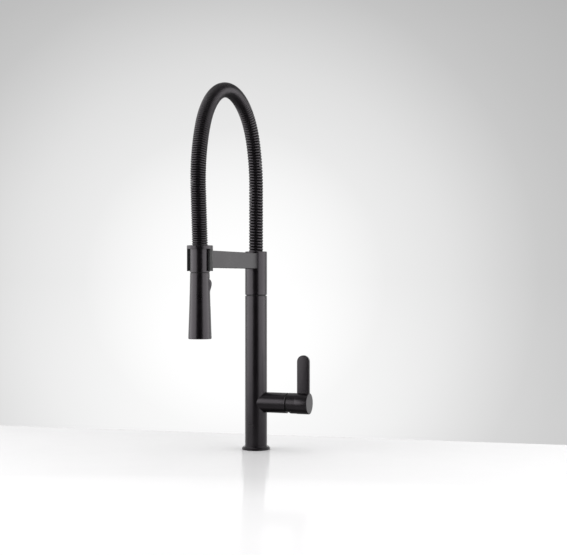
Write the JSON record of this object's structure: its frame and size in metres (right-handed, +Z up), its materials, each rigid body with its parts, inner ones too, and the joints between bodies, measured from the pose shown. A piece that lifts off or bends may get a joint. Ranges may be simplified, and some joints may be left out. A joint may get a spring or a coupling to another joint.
{
  "type": "pull down kitchen faucet",
  "caption": "Single-handle kitchen faucet: straight column, side lever, swivelling arm with a dock, and a pull-down spray head on a hose inside a tall spring arch.",
  "frame": {"origin": "centre of the base flange's underside, on the deck", "axes": "+Z up along the column, -Y along the support arm to the spray head, +X along the valve to the handle"},
  "size_m": [0.1277, 0.295, 0.7013],
  "materials": {
    "matte_black": "matte black coating with a fine grain",
    "spring_black": "matte black coated spring wire",
    "black_hose": "matte braided sleeve",
    "black_plastic": "moulded, matte",
    "seal_rubber": "moulded rubber",
    "brass": "turned",
    "steel": "turned stainless",
    "ceramic": "lapped ceramic",
    "white_plastic": "moulded acetal"
  },
  "bodies": {
    "base": {"base_flange": "matte_black", "deck_gasket": "seal_rubber", "main_body": "matte_black", "valve_housing": "matte_black", "mounting_shank": "brass", "rubber_washer": "seal_rubber", "metal_washer": "steel", "mounting_nut": "brass", "jack_screws": "steel", "waterway": "brass", "riser_tube": "brass", "swivel_post": "brass", "post_o_rings": "seal_rubber", "swivel_washer": "black_plastic", "cartridge_body": "white_plastic", "cartridge_seals": "seal_rubber", "fixed_disc": "ceramic", "cartridge_nut": "brass", "bonnet": "black_plastic"},
    "mixer": {"cartridge_carrier": "white_plastic", "pivot_pin": "steel"},
    "disc": {"moving_disc": "ceramic"},
    "handle": {"lever_stem": "steel", "handle_hub": "matte_black", "handle_lever": "matte_black", "hub_cap": "matte_black", "handle_set_screw": "steel"},
    "spout": {"upper_sleeve": "matte_black", "swivel_hub": "brass", "spout_set_screw": "steel", "support_arm": "matte_black", "arm_screws": "steel", "dock_clip": "black_plastic", "dock_ring": "matte_black", "dock_screw": "steel", "rear_ferrule": "steel", "hose_spring": "spring_black", "spray_hose": "black_hose"},
    "hose_end": {"docking_collar": "matte_black", "front_ferrule": "steel", "hose_connector": "brass", "connector_o_ring": "seal_rubber", "check_valve": "white_plastic"},
    "wand": {"wand_shell": "matte_black", "wand_core": "black_plastic", "head_washer": "black_plastic", "retaining_clip": "steel", "spray_face": "black_plastic", "nozzles": "seal_rubber", "aerator": "white_plastic", "toggle_pin": "steel"},
    "toggle": {"toggle_button": "matte_black"},
    "plunger": {"diverter_plunger": "brass"}
  },
  "joints": [
    {"name": "spout_swivel", "type": "hinge", "parent": "base", "child": "spout", "pos_m": [0, 0, 0.277], "axis": [0, 0, 1], "continuous": true},
    {"name": "temperature", "type": "hinge", "parent": "base", "child": "mixer", "pos_m": [0.054, 0, 0.085], "axis": [1, 0, 0], "range_deg": [-45, 45]},
    {"name": "flow_tilt", "type": "hinge", "parent": "mixer", "child": "handle", "pos_m": [0.054, 0, 0.085], "axis": [0, 1, 0], "range_deg": [0, 20]},
    {"name": "disc_slide", "type": "slide", "parent": "mixer", "child": "disc", "axis": [0, 0, 1], "range_m": [0, 0.0041]},
    {"name": "head_pull", "type": "slide", "parent": "spout", "child": "hose_end", "axis": [0, 0, -1], "range_m": [0, 0.12], "stiffness_N_per_m": 60, "springref_m": -0.12, "deforming": ["hose_spring", "spray_hose"]},
    {"name": "wand_swivel", "type": "hinge", "parent": "hose_end", "child": "wand", "pos_m": [0, -0.248, 0.3162], "axis": [0, 0, 1], "continuous": true},
    {"name": "spray_toggle", "type": "hinge", "parent": "wand", "child": "toggle", "pos_m": [0.01052, -0.24417, 0.284], "axis": [0.342, -0.9397, 0], "range_deg": [0, 7]},
    {"name": "diverter_slide", "type": "slide", "parent": "wand", "child": "plunger", "axis": [-0.9397, -0.342, 0], "range_m": [0, 0.0016]}
  ],
  "couplings": [
    {"joint": "disc_slide", "follows": "flow_tilt", "m_per_rad": 0.0115},
    {"joint": "diverter_slide", "follows": "spray_toggle", "m_per_rad": 0.013}
  ]
}
